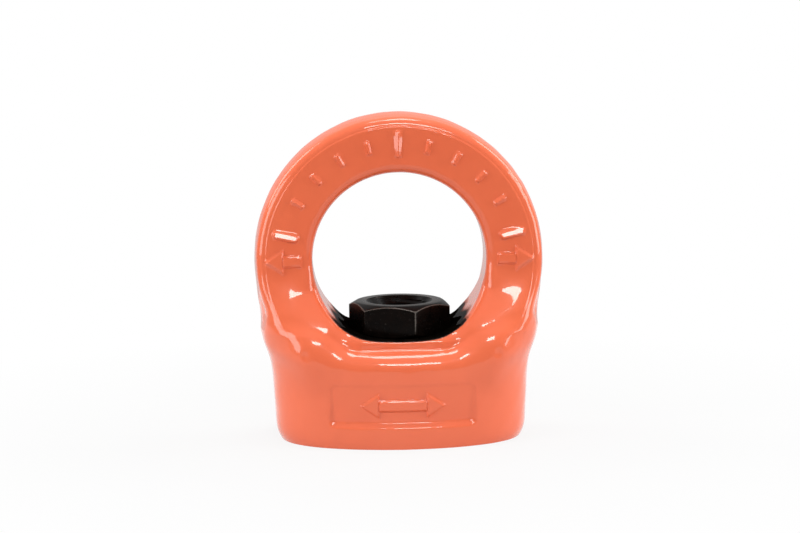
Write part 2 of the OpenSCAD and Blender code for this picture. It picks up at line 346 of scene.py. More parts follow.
@dataclass(frozen=True)
class Mark:
    """A raised mark, drawn along its own u axis."""

    kind: MarkKind
    length: float
    width: float
    head: float = 0.0
    angle: float = 0.0

    def distance(self, u: Array, v: Array) -> Array:
        """Distance outside the mark: a box, or a box with a triangle at one or both ends.

        Args:
            u: Place along the mark from its middle.
            v: Place across it.

        Returns:
            The signed distance, below zero inside.
        """
        across = np.abs(v)
        if self.kind is MarkKind.BAR:
            return round_edge(np.abs(u) - self.length / 2, across - self.width / 2, self.width / 2)
        along = np.abs(u) if self.kind is MarkKind.DOUBLE_ARROW else u
        head_len = 0.75 * self.head
        neck = self.length / 2 - head_len
        flank = (across * head_len + (along - self.length / 2) * self.head / 2) / math.hypot(
            head_len, self.head / 2)
        head = np.maximum(neck - along, flank)
        shaft = np.maximum(np.maximum(across - self.width / 2, -self.length / 2 - along), along - neck)
        return np.minimum(head, shaft)


def add_mesh(name: str, points: Array, faces: list[Array], body: str) -> bpy.types.Object:
    """Makes an object at the origin from points in millimetres, riding on a CAD body.

    Args:
        name: Name of the piece.
        points: One row of x, y, z for each point, in millimetres.
        faces: Arrays of point numbers, one row for each face, all rows of an array alike long.
        body: The CAD body that the piece rides on.

    Returns:
        The object, smooth shaded.
    """
    mesh = bpy.data.meshes.new(name)
    sizes = np.concatenate([np.full(len(f), f.shape[1]) for f in faces])
    corners = np.concatenate([f.ravel() for f in faces]).astype(np.int32)
    starts = np.concatenate([[0], np.cumsum(sizes)[:-1]]).astype(np.int32)
    mesh.vertices.add(len(points))
    mesh.vertices.foreach_set("co", (points * MM).astype(np.float32).ravel())
    mesh.loops.add(len(corners))
    mesh.loops.foreach_set("vertex_index", corners)
    mesh.polygons.add(len(sizes))
    mesh.polygons.foreach_set("loop_start", starts)
    mesh.polygons.foreach_set("use_smooth", np.ones(len(sizes), bool))
    mesh.update(calc_edges=True)
    mesh.validate()
    piece = bpy.data.objects.new(name, mesh)
    bpy.context.scene.collection.objects.link(piece)
    if body:
        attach(piece, body)
    return piece


def grid_faces(rows: int, columns: int, closed_rows: bool = True, closed_columns: bool = True) -> Array:
    """Quads of a grid of points numbered row by row.

    Args:
        rows: Number of rows.
        columns: Number of points in a row.
        closed_rows: Whether the last row joins the first.
        closed_columns: Whether each row is a closed loop.

    Returns:
        Four point numbers for each quad.
    """
    i = np.arange(rows if closed_rows else rows - 1)[:, None]
    j = np.arange(columns if closed_columns else columns - 1)[None, :]
    i2, j2 = (i + 1) % rows, (j + 1) % columns
    return np.stack([i * columns + j, i * columns + j2, i2 * columns + j2, i2 * columns + j], -1).reshape(-1, 4)


def mark_sharp(mesh: bpy.types.Mesh, limit: float) -> None:
    """Marks each edge whose two faces meet at more than limit degrees as sharp.

    The faces at an edge are found by sorting the corners by their edge, as whole arrays.

    Args:
        mesh: The mesh.
        limit: The angle in degrees.
    """
    corner_edge = np.empty(len(mesh.loops), np.int32)
    mesh.loops.foreach_get("edge_index", corner_edge)
    totals = np.empty(len(mesh.polygons), np.int32)
    mesh.polygons.foreach_get("loop_total", totals)
    normals = np.empty(len(mesh.polygons) * 3, np.float32)
    mesh.polygons.foreach_get("normal", normals)
    normals = normals.reshape(-1, 3)
    corner_face = np.repeat(np.arange(len(totals)), totals)
    order = np.argsort(corner_edge, kind="stable")
    edges, faces = corner_edge[order], corner_face[order]
    pair = edges[1:] == edges[:-1]
    turn = np.einsum("ij,ij->i", normals[faces[1:][pair]], normals[faces[:-1][pair]])
    sharp = np.zeros(len(mesh.edges), bool)
    sharp[edges[1:][pair]] = turn < math.cos(math.radians(limit))
    layer = mesh.attributes.get("sharp_edge") or mesh.attributes.new("sharp_edge", "BOOLEAN", "EDGE")
    layer.data.foreach_set("value", sharp)


def store(mesh: bpy.types.Mesh, name: str, values: Array) -> None:
    """Stores one value a point on the mesh."""
    layer = mesh.attributes.get(name) or mesh.attributes.new(name, "FLOAT", "POINT")
    layer.data.foreach_set("value", values.astype(np.float32))


def points_of(mesh: bpy.types.Mesh) -> Array:
    """The mesh's points in millimetres, one row each."""
    flat = np.empty(len(mesh.vertices) * 3, np.float32)
    mesh.vertices.foreach_get("co", flat)
    return flat.reshape(-1, 3) / MM


@dataclass
class Machining:
    """Round cuts in the forging, about the thread's axis, in millimetres."""

    seat_r: float = 14.6
    seat_z: float = 26.9
    bore_r: float = 10.58
    counterbore_r: float = 13.4
    counterbore_h: float = 5.0
    break_edge: float = 0.4
    around: int = 192

    def cutter(self, top: float) -> bpy.types.Object:
        """Lathe form that the forging is cut with.

        The surface is a profile of radius against height turned about the axis: counterbore,
        bore with broken edges, and seat.

        Args:
            top: Height up to which the seat's cut runs.

        Returns:
            The cutting object.
        """
        b = self.break_edge
        profile = np.array([
            (self.counterbore_r + b + 1.0, -1.0), (self.counterbore_r + b, 0.0), (self.counterbore_r, b),
            (self.counterbore_r, self.counterbore_h), (self.bore_r + b, self.counterbore_h),
            (self.bore_r, self.counterbore_h + b), (self.bore_r, self.seat_z - b),
            (self.bore_r + b, self.seat_z), (self.seat_r, self.seat_z), (self.seat_r, top)])
        turn = np.linspace(0.0, 2 * math.pi, self.around, endpoint=False)[:, None]
        r, z = profile[:, 0], profile[:, 1]
        points = np.stack([r * np.cos(turn), r * np.sin(turn), z + 0 * turn], -1)
        sides = grid_faces(self.around, len(profile), True, False)
        last = len(profile) - 1
        ring = np.arange(self.around) * len(profile)
        return add_mesh("seat_cutter", points.reshape(-1, 3), [sides[:, ::-1], ring[None, ::-1], ring[None] + last], "")


@dataclass
class EyeForging:
    """Ring, waist and oval base in one forging, in millimetres."""

    ring_r: float = 38.25
    eye_r: float = 22.9
    eye_h: float = 48.4
    face_y: float = 9.0
    edge_r: float = 2.6
    edge_low_r: float = 3.2
    rim_r: float = 2.7
    rim_low_r: float = 1.1
    rim_power: float = 2.0
    swell: float = 7.4
    swell_low: float = math.radians(45.0)
    swell_high: float = math.radians(87.0)
    crest_r: float = 32.5
    crown_r: float = 16.0
    draft: float = math.tan(math.radians(3.0))
    floor_h: float = 28.1
    floor_blend: float = 4.0
    foot_half: float = 33.05
    belly_half: float = 34.3
    belly_h: float = 22.5
    front_y: float = 20.6
    plan_power: float = 2.27
    waist_r: float = 35.0
    foot_r: float = 3.3
    foot_reach: float = 1.6
    foot_bite: float = 0.35
    waist_fade: float = 0.5
    shoulder_h: float = 20.5
    shoulder_r: float = 5.0
    shoulder_side_r: float = 9.0
    shoulder_tip: float = math.radians(71.0)
    shoulder_lift: float = 3.2
    shoulder_blend: float = 1.5
    side_blend: float = 9.0
    waist_share: float = 0.9
    swell_fall: float = 0.7
    panel_w: float = 38.0
    panel_h: float = 11.0
    panel_z: float = 6.0
    panel_r: float = 1.6
    panel_cut: float = 1.1
    face_cut: float = 0.22
    face_r: float = 35.0
    mark_h: float = 0.72
    mark_edge: float = 0.36
    bar_tilt: float = 0.385
    bar_lean: float = 0.055
    bar_l: float = 7.0
    bar_w: float = 2.2
    arrow_l: float = 9.4
    arrow_head: float = 6.2
    arrow_shaft: float = 2.7
    swivel_w: float = 22.0
    bar_angle: float = 13.0
    tick_step: float = 15.0
    spare: float = 2.5
    rows: int = 530
    columns: int = 184
    node: str = "eye_body"
    body: str = "eye"

    def ring_marks(self) -> list[Mark]:
        """Arrows and bars for the load, and ticks between them across the top."""
        arrows = [Mark(MarkKind.ARROW, self.arrow_l, self.arrow_shaft, self.arrow_head, a) for a in (0.0, 180.0)]
        bars = [Mark(MarkKind.BAR, self.bar_l, self.bar_w, angle=a) for a in (self.bar_angle, 180 - self.bar_angle)]
        steps = np.arange(2 * self.tick_step, 180 - self.tick_step, self.tick_step)
        ticks = [Mark(MarkKind.BAR, self.bar_l if a == 90 else self.bar_l / 2, self.bar_w / 2, angle=float(a))
                 for a in steps]
        return arrows + bars + ticks

    def outline(self, x: Array, z: Array) -> Array:
        """Distance outside the outline seen from the front, for x not below zero.

        It is a straight side that leans out from the foot to the belly, an arc of the waist's
        radius that touches the side and the ring, and the ring's circle. The foot's two ends
        are rounded by a cubic.

        Args:
            x: Distance from the middle plane.
            z: Height.

        Returns:
            The signed distance.
        """
        slope = (self.belly_half - self.foot_half) / self.belly_h
        nx, nz = 1 / math.hypot(1, slope), -slope / math.hypot(1, slope)
        offset = self.foot_half * nx + self.waist_r - nz * self.eye_h
        along = math.sqrt((self.ring_r + self.waist_r) ** 2 - offset ** 2)
        wx = offset * nx + along * nz
        wz = self.eye_h + offset * nz - along * nx
        foot = np.clip(1 - z / (self.foot_reach * self.foot_r), 0, 2)
        side = nx * x + nz * z - self.foot_half * nx + self.foot_r * self.foot_bite * foot ** 3
        ring = np.hypot(x, z - self.eye_h) - self.ring_r
        arc = self.waist_r - np.hypot(x - wx, z - wz)
        in_ring = (x > wx) | (z > wz + (x - wx) * (self.eye_h - wz) / -wx)
        in_side = z < wz + (x - wx) * nz / nx
        return np.where(in_ring, ring, np.where(in_side, side, arc))

    def turn(self, x: Array, z: Array) -> Array:
        """Angle round the eye's centre, 0 straight below it, for x not below zero."""
        return np.arctan2(x, self.eye_h - z)

    def blank(self, x: Array, y: Array, z: Array) -> Array:
        """Distance outside the forging without its eye, for x and y not below zero.

        The ring is a disc with round edges that swells below the eye. The base has an oval plan,
        the power norm of the place across over the outline and the place in depth over the
        shoulder, which is an arc and then a slope. It fades out above the waist, and the two run
        together in a smooth hollow.

        Args:
            x: Distance from the middle plane across.
            y: Distance from the middle plane in depth.
            z: Height.

        Returns:
            The signed distance, to first order.
        """
        lean = self.draft * y
        swollen = 1 - ease(self.turn(x, z), self.swell_low, self.swell_high)
        swollen = swollen * (1 - self.swell_fall * ease(x, 23.0, 36.0) * ease(-z, -36.0, -26.0))
        off = np.hypot(x, z - self.eye_h) - self.crest_r
        crowned = off * off / (2 * self.crown_r) * ease(swollen, 0.0, 0.35) * ease(x, 10.0, 16.0)
        face = self.face_y + self.swell * swollen - crowned
        edge = self.edge_r + (self.edge_low_r - self.edge_r) * (1 - ease(self.turn(x, z), 0.85, 1.4))
        outline = self.outline(x, z)
        circle = np.hypot(x, z - self.eye_h) - self.ring_r
        round_it = circle + self.waist_share * ease(z, 20.0, 30.0) * (outline - circle)
        disc = round_edge(round_it + lean, y - face, edge)
        beside = self.ring_r - 2 * self.edge_r - self.rim_r
        start = self.shoulder_h + self.shoulder_lift * np.minimum(x / beside, 1.1) ** 3
        radius = self.shoulder_r + (self.shoulder_side_r - self.shoulder_r) * ease(x, 12.0, 23.0)
        up = np.maximum(z - start, 0.0)
        arc = np.minimum(up, radius * math.sin(self.shoulder_tip))
        back = radius - np.sqrt(radius ** 2 - arc ** 2) + (up - arc) * math.tan(self.shoulder_tip)
        deep = np.maximum(self.front_y - back, self.face_y / 2)
        n = self.plan_power
        a = np.maximum(1 + (outline + lean) / self.belly_half, TINY)
        b = np.maximum(y / deep, TINY)
        e = (a ** n + b ** n) ** (1 / n)
        foot = (e - 1) * e ** (n - 1) / np.hypot(a ** (n - 1) / self.belly_half, b ** (n - 1) / deep)
        foot = foot + self.waist_fade * np.maximum(z - self.floor_h - self.shoulder_blend, 0)
        blend = self.shoulder_blend + (self.side_blend - self.shoulder_blend) * ease(x, 12.0, 27.0)
        return -smooth_max(-disc, -foot, blend)

    def relief(self, x: Array, y: Array, z: Array) -> Array:
        """Height by which the marks, the sunk panel and small unevenness move the surface.

        Marks and panel are smooth steps of the distance outside their shapes, on the front only.
        The unevenness is a sum of slow sine waves, and two small dents lie beside the eye.

        Args:
            x: Place across.
            y: Place in depth.
            z: Height.

        Returns:
            The height in millimetres, positive outwards.
        """
        up = z - self.eye_h
        mark_r = (self.ring_r - self.edge_r + self.eye_r + self.rim_r) / 2
        raised = np.zeros_like(x)
        for mark in self.ring_marks():
            c, s = math.cos(math.radians(mark.angle)), math.sin(math.radians(mark.angle))
            gap = mark.distance(x * c + up * s - mark_r, up * c - x * s)
            slope = self.bar_tilt * (up - mark_r * s) + self.bar_lean * (x - mark_r * c)
            top = self.mark_h - slope * (mark.kind is MarkKind.BAR and abs(c) > 0.9)
            raised = np.maximum(raised, top * (1 - ease(gap, -self.mark_edge, self.mark_edge)))
        middle = self.panel_z + self.panel_h / 2
        gap = round_edge(np.abs(x) - self.panel_w / 2, np.abs(z - middle) - self.panel_h / 2, self.panel_r)
        share = clamp01((middle + self.panel_h / 2 - z) / self.panel_h)
        soft = 0.6 + 0.8 * share
        sunk = self.panel_cut * (0.15 + 0.85 * share) * (1 - ease(gap, -soft, soft / 2))
        swivel = Mark(MarkKind.DOUBLE_ARROW, self.swivel_w, self.arrow_shaft, self.arrow_head)
        gap = swivel.distance(x, z - middle)
        raised = np.maximum(raised, self.mark_h * (1 - ease(gap, -self.mark_edge, self.mark_edge)))
        sunk = sunk + self.face_cut * ease(np.hypot(x, up), self.face_r, self.face_r + 0.5) * ease(z, 30.0, 36.0)
        front = ease(-y, 4.0, 7.0)
        dents = np.exp(-(((np.abs(x) - 25.2) / 1.1) ** 2 + ((z - 24.6) / 1.5) ** 2)) * 0.28
        waves = (np.sin(0.55 * x + 1.3 * np.sin(0.31 * z + 0.6)) * np.sin(0.47 * z + 0.9 * np.sin(0.37 * y + 1.1))
                 + 0.6 * np.sin(0.93 * x - 0.71 * z + 0.8 * np.sin(0.5 * x + 2.0) + 0.6 * y))
        return front * (raised - sunk - dents) + 0.035 * waves

    def field(self, x: Array, y: Array, z: Array, fine: bool) -> Array:
        """Distance outside the finished forging.

        Args:
            x: Place across.
            y: Place in depth.
            z: Height.
            fine: Whether the relief is added.

        Returns:
            The signed distance.
        """
        ax, ay = np.abs(x), np.abs(y)
        wall = np.hypot(ax, z - self.eye_h) - self.eye_r
        eye = -smooth_max(wall, self.floor_h - z, self.floor_blend)
        blank = self.blank(ax, ay, z)
        if fine:
            blank = blank - self.relief(x, y, z)
        rim = self.rim_low_r + (self.rim_r - self.rim_low_r) * ease(self.turn(ax, z), 0.25, 0.7)
        return np.maximum(round_edge(blank, eye, rim, self.rim_power), -self.spare - z)

    def core(self, cosine: Array) -> Array:
        """Distance of the core line from the eye's centre: mid ring, sinking to mid base at the bottom."""
        ring = (self.ring_r + self.eye_r) / 2
        return ring + (self.eye_h - self.floor_h / 2 - ring) * ease(cosine, 0.2, 0.9)

    def cast(self, turn: Array, tilt: Array, steps: int, fine: bool) -> tuple[Array, Array, Array]:
        """Places where rays from the core line leave the metal, by halving an interval.

        Args:
            turn: Angle round the eye, 0 at the bottom.
            tilt: Angle round the section, 0 pointing away from the eye.
            steps: Number of halvings.
            fine: Whether the relief is added.

        Returns:
            The coordinates x, y and z.
        """
        core = self.core(np.cos(turn))
        out, deep = np.cos(tilt), np.sin(tilt)
        far = self.eye_h + self.ring_r
        high = np.where(out < 0, np.minimum(far, core / np.maximum(-out, TINY)), far)
        low = np.zeros_like(high)

        def at(t: Array) -> tuple[Array, Array, Array]:
            """Point at the distance t along each ray."""
            r = core + t * out
            return r * np.sin(turn), t * deep, self.eye_h - r * np.cos(turn)

        for _ in range(steps):
            middle = (low + high) / 2
            outside = self.field(*at(middle), fine) > 0
            high = np.where(outside, middle, high)
            low = np.where(outside, low, middle)
        return at((low + high) / 2)

    def density(self, x: Array, y: Array, z: Array) -> Array:
        """How closely the section's points lie: most at the front, little where it is cut away."""
        front = 1.0 + 2.2 * ease(-y, 3.0, 8.0)
        rim = 1.0 + 0.8 * np.exp(-((np.hypot(x, z - self.eye_h) - self.eye_r - 1.2) / 1.8) ** 2)
        kept = 0.08 + 0.92 * ease(z, -2.0, -0.6)
        seat = 1.0 - 0.75 * ease(-np.hypot(x, y), -12.5, -10.5) * ease(-z, -31.0, -29.5)
        edge = 1.0 + 0.9 * np.exp(-((np.hypot(x, z - self.eye_h) - self.ring_r + 1.6) / 1.6) ** 2)
        ledge = 1.0 + 1.2 * np.exp(-((z - self.panel_z) / 1.6) ** 2) * ease(-y, 12.0, 16.0)
        return front * rim * kept * seat * edge * ledge

    def angles(self) -> tuple[Array, Array]:
        """Angles of all the rays, evenly spread by weighted length.

        A coarse cast gives each section's length weighted by density; its running sum is turned
        round, so equal steps of it give the angles. Rows are crowded towards the base.

        Returns:
            The turn and tilt of each ray, as grids of rows by columns.
        """
        u = np.linspace(0.0, 2 * math.pi, self.rows, endpoint=False)
        turn = u - 0.42 * np.sin(u)
        coarse = np.linspace(0.0, 2 * math.pi, 361)
        grid_turn, grid_tilt = np.meshgrid(turn, coarse, indexing="ij")
        x, y, z = self.cast(grid_turn, grid_tilt, 14, False)
        step = np.sqrt(np.diff(x) ** 2 + np.diff(y) ** 2 + np.diff(z) ** 2)
        weight = self.density(x, y, z)
        step = step * (weight[:, 1:] + weight[:, :-1]) / 2
        run = np.concatenate([np.zeros((self.rows, 1)), np.cumsum(step, 1)], 1)
        even = np.linspace(0.0, 1.0, self.columns, endpoint=False)
        tilt = np.stack([np.interp(even * row[-1], row, coarse) for row in run])
        return np.repeat(turn[:, None], self.columns, 1), tilt

    def skin(self) -> bpy.types.Object:
        """The forging's closed skin, cut level at the underside."""
        turn, tilt = self.angles()
        x, y, z = self.cast(turn, tilt, 22, True)
        points = np.stack([x, y, z], -1).reshape(-1, 3)
        piece = add_mesh("forged_eye", points, [grid_faces(self.rows, self.columns)], self.body)
        cut = bmesh.new()
        cut.from_mesh(piece.data)
        if cut.calc_volume(signed=True) < 0:
            bmesh.ops.reverse_faces(cut, faces=cut.faces)
        everything = list(cut.verts) + list(cut.edges) + list(cut.faces)
        bmesh.ops.bisect_plane(cut, geom=everything, dist=TINY * MM, plane_co=(0, 0, 0),
                               plane_no=(0, 0, -1), clear_outer=True)
        rim = [edge for edge in cut.edges if edge.is_boundary]
        bmesh.ops.edgeloop_fill(cut, edges=rim)
        bmesh.ops.recalc_face_normals(cut, faces=cut.faces)
        cut.to_mesh(piece.data)
        cut.free()
        return piece

    def machine(self, piece: bpy.types.Object, cuts: Machining) -> None:
        """Cuts seat, bore and counterbore, and keeps the result as the piece's mesh."""
        cutter = cuts.cutter(self.eye_h)
        step = piece.modifiers.new("cuts", "BOOLEAN")
        step.operation = "DIFFERENCE"
        step.solver = "EXACT"
        step.object = cutter
        bpy.context.view_layer.update()
        ready = piece.evaluated_get(bpy.context.evaluated_depsgraph_get())
        mesh = bpy.data.meshes.new_from_object(ready)
        piece.modifiers.clear()
        old, piece.data = piece.data, mesh
        mesh.name = "forged_eye"
        bpy.data.meshes.remove(old)
        bpy.data.objects.remove(cutter)

    def bareness(self, points: Array) -> Array:
        """How bare of paint each point is: 1 on the eye's floor, 0 above a ragged line on its walls.

        Args:
            points: The mesh's points in millimetres.

        Returns:
            One value a point.
        """
        x, y, z = points.T
        wall = smooth_max(np.hypot(x, z - self.eye_h) - self.eye_r, self.floor_h - z, self.floor_blend)
        inner = 1 - ease(wall, 0.25, 0.75)
        ragged = 0.7 * np.sin(0.5 * y + 0.4 * x) + 0.12 * np.sin(1.9 * y + 1.0)
        return inner * (1 - ease(z + ragged, 31.0, 36.5))

    def dress(self, piece: bpy.types.Object, cuts: Machining) -> None:
        """Gives paint, blackened seat and bright underside, each to its own faces."""
        mesh = piece.data
        mesh.materials.clear()
        for finish in (OrangePaint(), TurnedSteel("blackened_seat", (0.0016, 0.0013, 0.0011), (0.004, 0.003, 0.002), 0.6, 0.0),
                       TurnedSteel("turned_steel", (0.50, 0.49, 0.47), (0.33, 0.30, 0.27), 0.30, 1.0)):
            mesh.materials.append(finish.material())
        centres = np.empty(len(mesh.polygons) * 3, np.float32)
        mesh.polygons.foreach_get("center", centres)
        x, y, z = (centres.reshape(-1, 3) / MM).T
        rho = np.hypot(x, y)
        index = np.zeros(len(centres) // 3, np.int32)
        index[self.bareness(centres.reshape(-1, 3) / MM) > 0.96] = 1
        index[(rho < cuts.seat_r + 0.02) & (z < self.eye_h / 1.2)] = 1
        index[(z < cuts.counterbore_h + 0.5) & (rho < cuts.counterbore_r + 1.0)] = 2
        index[z < 0.01] = 2
        mesh.polygons.foreach_set("material_index", index)
        mesh.polygons.foreach_set("use_smooth", np.ones(len(index), bool))
        points = points_of(mesh)
        store(mesh, "bare", self.bareness(points))
        store(mesh, "outer", ease(np.hypot(points[:, 0], points[:, 2] - self.eye_h) - self.ring_r, -1.2, -0.2)
              * ease(points[:, 2], 52.0, 62.0))
        mark_sharp(mesh, 32.0)

    def build(self) -> bpy.types.Object:
        """Builds and dresses the forging in place of its CAD node."""
        cuts = Machining()
        piece = self.skin()
        self.machine(piece, cuts)
        self.dress(piece, cuts)
        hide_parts(self.node)
        return piece


@dataclass
class HexNut:
    """Hexagon nut with its shank, groove and thread, in millimetres."""

    half_flats: float = 12.0
    corner_power: float = 70.0
    top: float = 36.5
    hex_z: float = 27.2
    washer_h: float = 0.4
    washer_r: float = 11.2
    crown_r: float = 11.4
    crown_slope: float = math.tan(math.radians(30.0))
    sink_r: float = 8.9
    minor_r: float = 6.92
    thread_depth: float = 1.08
    pitch: float = 2.0
    shank_r: float = 10.5
    groove_r: float = 9.7
    groove_low: float = 3.4
    groove_high: float = 4.7
    turn: float = -14.0
    # Corner nearest the camera: it gets full wear, which is a painted highlight along that edge.
    painted_glint_corner: float = math.radians(-74.0)
    bevel: float = 0.16
    per_face: int = 24
    thread_rows: int = 300
    node: str = "hex_nut"
    body: str = "nut"

    def angles(self) -> Array:
        """Angles round the axis, crowded at the six corners by a cubic."""
        u = np.linspace(-1.0, 1.0, self.per_face, endpoint=False)
        across = math.radians(30.0) * (1.5 * u - 0.5 * u ** 3)
        middle = np.radians(30.0 + 60.0 * np.arange(6) + self.turn)[:, None]
        return (middle + across).ravel()

    def hexagon(self, angle: Array) -> Array:
        """Radius of the hexagon: a power norm of the six flats, which rounds the corners a little."""
        flats = np.radians(30.0 + 60.0 * np.arange(6) + self.turn)[:, None]
        facing = np.maximum(np.cos(angle - flats), 0.0)
        return self.half_flats / (facing ** self.corner_power).sum(0) ** (1 / self.corner_power)

    def thread(self, angle: Array, z: Array) -> Array:
        """Radius of the bore: a flat-topped triangle wave along a helix, widened by both countersinks.

        Args:
            angle: Angle round the axis.
            z: Height.

        Returns:
            The radius.
        """
        phase = (z / self.pitch - angle / (2 * math.pi)) % 1.0
        wave = clamp01((np.abs(phase - 0.5) * 2 - 0.12) / 0.66)
        radius = self.minor_r + self.thread_depth * (1 - wave)
        return np.maximum(radius, np.maximum(self.sink_r - (self.top - z), self.sink_r - z))

    def build(self) -> bpy.types.Object:
        """Builds and dresses the nut in place of its CAD node.

        Each row is a loop round the axis with its own radius and height: the bore from the top
        down, then the shank with its groove, the washer face, the hexagon and its crown.

        Returns:
            The nut.
        """
        angle = self.angles()
        flat = np.zeros_like(angle)
        side = self.hexagon(angle)
        b = self.bevel
        drop = (side - self.crown_r) * self.crown_slope
        low = self.hex_z + self.washer_h
        inner_z = np.linspace(self.top, 0.0, self.thread_rows)
        rows = [(self.thread(angle, flat + z), flat + z, 0.6 if i == 0 else 0.0) for i, z in enumerate(inner_z)]
        for radius, z, edge in (
                (self.shank_r - 0.5, 0.0, 0.0), (self.shank_r, 0.5, 0.6),
                (self.shank_r, self.groove_low, 0.6), (self.groove_r, self.groove_low, 0.0),
                (self.groove_r, self.groove_high, 0.0), (self.shank_r, self.groove_high, 0.6),
                (self.shank_r, self.hex_z, 0.0), (self.washer_r, self.hex_z, 0.5), (self.washer_r, low, 0.0)):
            rows.append((flat + radius, flat + z, edge))
        under = low + (side - self.washer_r) * self.crown_slope
        rows += [(side - b, under - b * self.crown_slope, 0.5), (side - 0.2 * b, under + 0.2 * b, 1.0),
                 (side, under + b, 0.6), (side, (low + self.top) / 2 + flat, 0.0),
                 (side, self.top - drop - 3 * b, 0.0), (side, self.top - drop - b, 0.5),
                 (side - 0.15 * b, self.top - drop - 0.2 * b, 1.0),
                 (side - b, self.top - drop + b * self.crown_slope, 0.6),
                 (side - 3 * b, self.top - drop + 3 * b * self.crown_slope, 0.0),
                 (flat + self.crown_r + b, flat + self.top - b * self.crown_slope, 0.3),
                 (flat + self.crown_r - b, flat + self.top, 0.4),
                 (flat + self.sink_r + b, flat + self.top, 0.5)]
        r = np.stack([row[0] for row in rows])
        z = np.stack([row[1] for row in rows])
        corner = ease(side, self.half_flats / math.cos(math.radians(28.4)), float(side.max()) - 0.01)
        wear_and_painted_light = np.stack([row[2] + flat for row in rows])
        on_side = (np.abs(r - side) < 2 * b) & (z > low) & (z < self.top)
        # All six corners get some wear; the front corner gets full wear, a painted highlight.
        wear_and_painted_light = np.maximum(wear_and_painted_light, corner * on_side * (0.45 + 0.55 * (np.cos(angle - self.painted_glint_corner) > 0.9)))
        # Lighter edges fade out over the hex's lowest part and are gone below it, down in the seat: painted shade.
        wear_and_painted_light = wear_and_painted_light * ease(z, self.hex_z + 1.0, self.hex_z + 3.0)
        points = np.stack([r * np.cos(angle), r * np.sin(angle), z], -1).reshape(-1, 3)
        faces = grid_faces(len(rows), len(angle))
        piece = add_mesh("swivel_nut", points, [faces], self.body)
        # Stored as edge: wear, the painted highlight on the front corner, and painted shade at the nut's lower end.
        store(piece.data, "edge", wear_and_painted_light.ravel())
        piece.data.materials.append(BlackOxide().material())
        mark_sharp(piece.data, 24.0)
        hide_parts(self.node)
        return piece


@dataclass
class RetainingRing:
    """Open ring of flat spring steel in the shank's groove, in millimetres."""

    inner_r: float = 9.75
    outer_r: float = 12.2
    low: float = 3.45
    thick: float = 1.2
    gap: float = 24.0
    bevel: float = 0.15
    around: int = 160
    node: str = "retaining_ring"
    body: str = "nut"

    def build(self) -> bpy.types.Object:
        """Carries a flat section with broken corners round an open circle and closes both ends.

        Returns:
            The ring.
        """
        b, low, high = self.bevel, self.low, self.low + self.thick
        section = np.array([
            (self.inner_r + b, low), (self.outer_r - b, low), (self.outer_r, low + b), (self.outer_r, high - b),
            (self.outer_r - b, high), (self.inner_r + b, high), (self.inner_r, high - b), (self.inner_r, low + b)])
        turn = np.radians(90.0 + np.linspace(self.gap / 2, 360.0 - self.gap / 2, self.around))[:, None]
        r, z = section[:, 0], section[:, 1]
        points = np.stack([r * np.cos(turn), r * np.sin(turn), z + 0 * turn], -1).reshape(-1, 3)
        count = len(section)
        ends = [np.arange(count)[None], (np.arange(count) + (self.around - 1) * count)[None, ::-1]]
        piece = add_mesh("snap_ring", points, [grid_faces(self.around, count, False)] + ends, self.body)
        shell = bmesh.new()
        shell.from_mesh(piece.data)
        bmesh.ops.recalc_face_normals(shell, faces=shell.faces)
        shell.to_mesh(piece.data)
        shell.free()
        mark_sharp(piece.data, 30.0)
        piece.data.materials.append(
            TurnedSteel("spring_steel", (0.36, 0.36, 0.37), (0.22, 0.21, 0.20), 0.34, 1.0, 0.3).material())
        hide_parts(self.node)
        return piece


@dataclass(frozen=True)
class SoftBox:
    """A rectangular lamp that looks at the object."""

    name: str
    place: tuple[float, float, float]
    width: float
    height: float
    radiance: float
    target: tuple[float, float, float] = (0.0, 0.0, 0.045)

    def build(self) -> bpy.types.Object:
        """Adds the lamp; its power is its radiance times its area times pi."""
        lamp = bpy.data.lights.new(self.name, "AREA")
        lamp.shape = "RECTANGLE"
        lamp.size = self.width
        lamp.size_y = self.height
        lamp.energy = self.radiance * self.width * self.height * math.pi
        piece = bpy.data.objects.new(self.name, lamp)
        piece.location = self.place
        forward = (Vector(self.target) - Vector(self.place)).normalized()
        side = forward.cross(Vector((0, 0, 1))).normalized()
        basis = Matrix((side, side.cross(forward), -forward)).transposed()
        piece.rotation_euler = basis.to_euler()
        bpy.context.scene.collection.objects.link(piece)
        return piece


